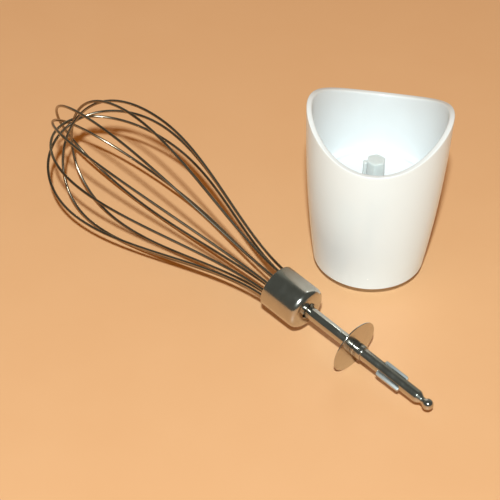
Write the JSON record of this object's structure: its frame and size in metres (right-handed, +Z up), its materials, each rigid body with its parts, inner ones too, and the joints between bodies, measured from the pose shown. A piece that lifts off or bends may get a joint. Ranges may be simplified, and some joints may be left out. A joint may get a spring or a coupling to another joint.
{
  "type": "hand blender whisk attachment",
  "caption": "Balloon whisk with a ball-ended drive shaft, lying beside the tapered gearbox collar that it plugs into; the collar stands on its narrow end with its mouth up.",
  "frame": {"origin": "Middle of the bounding box's footprint, on the surface that both pieces stand or lie on.", "axes": "+X runs along the whisk's shaft seen from above, from the cage to the ball end; +Y points from the whisk to the collar; +Z is up, the collar's own axis."},
  "size_m": [0.2512, 0.1264, 0.0945],
  "materials": {
    "shell_white": "moulded glossy ABS",
    "post_grey": "natural acetal, slightly translucent",
    "gear_nylon": "moulded nylon",
    "sintered_steel": "sintered and oiled steel",
    "bronze": "sintered bronze",
    "seal_rubber": "nitrile rubber",
    "zinc_steel": "zinc-plated steel",
    "polished_steel": "polished stainless steel",
    "bright_wire": "bright drawn stainless wire"
  },
  "bodies": {
    "collar": {"collar_shell": "shell_white", "bottom_cover": "shell_white", "cover_screw_1": "zinc_steel", "cover_screw_2": "zinc_steel", "cover_screw_3": "zinc_steel", "ring_gear": "gear_nylon", "lower_bush": "bronze", "upper_bush": "bronze", "shaft_seal": "seal_rubber", "thrust_washer": "zinc_steel"},
    "carrier": {"planet_carrier": "sintered_steel", "planet_pin_1": "polished_steel", "planet_pin_2": "polished_steel", "planet_pin_3": "polished_steel"},
    "input": {"drive_post": "post_grey", "sun_gear": "gear_nylon", "ball_clip": "bright_wire"},
    "planet_1": {"planet_gear_1": "gear_nylon"},
    "planet_2": {"planet_gear_2": "gear_nylon"},
    "planet_3": {"planet_gear_3": "gear_nylon"},
    "whisk": {"whisk_shaft": "polished_steel", "splash_disc": "polished_steel", "disc_hub": "polished_steel", "ferrule": "polished_steel", "core_plug": "zinc_steel", "crimp_ring": "zinc_steel", "wire_loop_1": "bright_wire", "wire_loop_2": "bright_wire", "wire_loop_3": "bright_wire", "wire_loop_4": "bright_wire", "wire_loop_5": "bright_wire", "wire_loop_6": "bright_wire"}
  },
  "joints": [
    {"name": "output_turn", "type": "hinge", "parent": "collar", "child": "carrier", "pos_m": [0.03381, 0.02918, 0.022], "axis": [0, 0, 1], "continuous": true},
    {"name": "input_turn", "type": "hinge", "parent": "collar", "child": "input", "pos_m": [0.03381, 0.02918, 0.042], "axis": [0, 0, 1], "continuous": true},
    {"name": "planet_1_turn", "type": "hinge", "parent": "carrier", "child": "planet_1", "pos_m": [0.03381, 0.04178, 0.026], "axis": [0, 0, 1], "continuous": true},
    {"name": "planet_2_turn", "type": "hinge", "parent": "carrier", "child": "planet_2", "pos_m": [0.0229, 0.02288, 0.026], "axis": [0, 0, 1], "continuous": true},
    {"name": "planet_3_turn", "type": "hinge", "parent": "carrier", "child": "planet_3", "pos_m": [0.04472, 0.02288, 0.026], "axis": [0, 0, 1], "continuous": true},
    {"name": "whisk_lift", "type": "slide", "parent": "collar", "child": "whisk", "axis": [0, 0, 1], "range_m": [0, 0.2]}
  ],
  "couplings": [
    {"joint": "input_turn", "follows": "output_turn", "ratio": 3},
    {"joint": "planet_1_turn", "follows": "output_turn", "ratio": -4},
    {"joint": "planet_2_turn", "follows": "output_turn", "ratio": -4},
    {"joint": "planet_3_turn", "follows": "output_turn", "ratio": -4}
  ]
}
